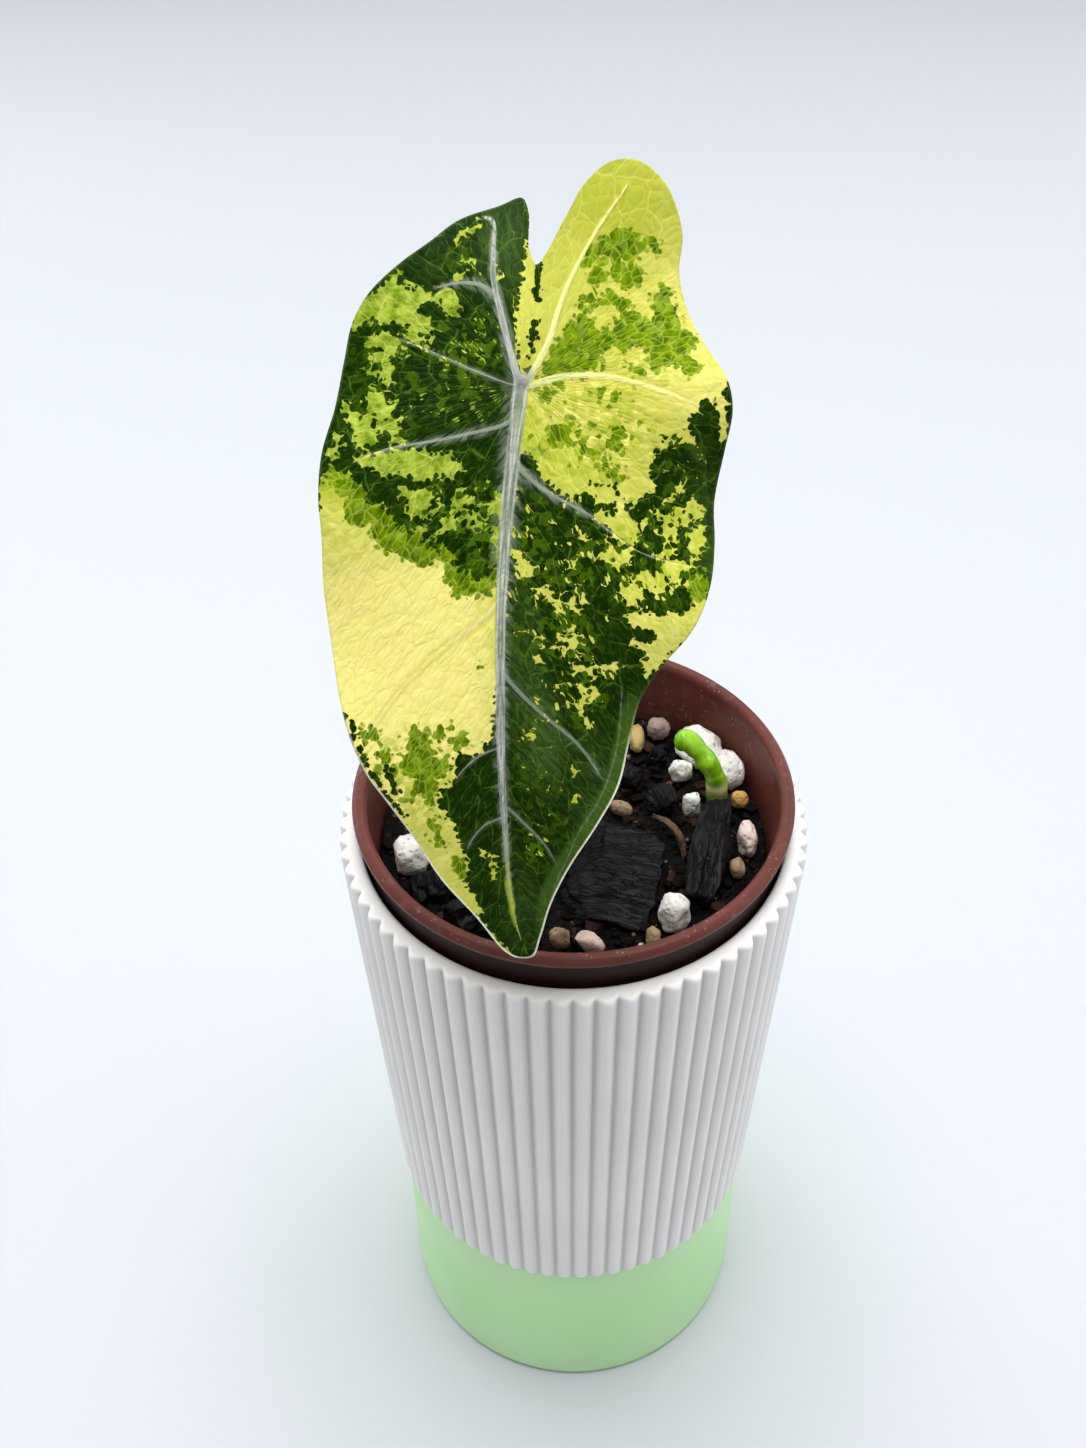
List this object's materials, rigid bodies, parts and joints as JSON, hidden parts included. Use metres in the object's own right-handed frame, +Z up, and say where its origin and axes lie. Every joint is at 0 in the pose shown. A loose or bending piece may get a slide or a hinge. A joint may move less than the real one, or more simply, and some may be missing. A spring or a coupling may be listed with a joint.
{
  "type": "potted foliage plant",
  "caption": "Young arrow-leaved foliage plant with one marbled waved leaf and a new shoot, in a tall nursery pot standing inside a ribbed two-tone planter.",
  "frame": {"origin": "centre of the flat underside of the planter's base cup", "axes": "+Z up along the planter's axis, -Y towards the viewer of the picture, where the leaf hangs forward, +X to the viewer's right"},
  "size_m": [0.0968, 0.108, 0.3062],
  "materials": {
    "white_shell": "satin white plastic",
    "mint_shell": "satin mint green plastic",
    "brown_shell": "thin reddish brown plastic, slightly glossy",
    "mix": "damp dark potting mix",
    "charcoal": "broken charcoal with a fine grain",
    "pumice": "chalky white pumice",
    "pebble": "tan and brown grit",
    "bark": "dry bark fibre",
    "rootstock": "pale brown stem base",
    "leaf": "waxy leaf, dark green marbled with lime and cream",
    "stem": "waxy green stalk",
    "shoot": "fresh bright green shoot"
  },
  "bodies": {
    "root": {"base_cup": "mint_shell", "ribbed_sleeve": "white_shell", "nursery_pot": "brown_shell", "leaf_blade": "leaf", "petiole": "stem", "rootstock": "rootstock", "new_shoot": "shoot", "charcoal_1": "charcoal", "charcoal_2": "charcoal", "charcoal_3": "charcoal", "charcoal_4": "charcoal", "charcoal_5": "charcoal", "charcoal_6": "charcoal", "charcoal_7": "charcoal", "charcoal_8": "charcoal", "charcoal_9": "charcoal", "charcoal_10": "charcoal", "pumice_1": "pumice", "pumice_2": "pumice", "pumice_3": "pumice", "pumice_4": "pumice", "pumice_5": "pumice", "pumice_6": "pumice", "pumice_7": "pumice", "pumice_8": "pumice", "pumice_9": "pumice", "pumice_10": "pumice", "pumice_11": "pumice", "bark_strip": "bark", "pebble_1": "pebble", "pebble_2": "pebble", "pebble_3": "pebble", "pebble_4": "pebble", "pebble_5": "pebble", "pebble_6": "pebble", "pebble_7": "pebble", "pebble_8": "pebble", "pebble_9": "pebble", "pebble_10": "pebble", "pebble_11": "pebble", "pebble_12": "pebble", "pebble_13": "pebble", "potting_mix": "mix"}
  },
  "joints": []
}
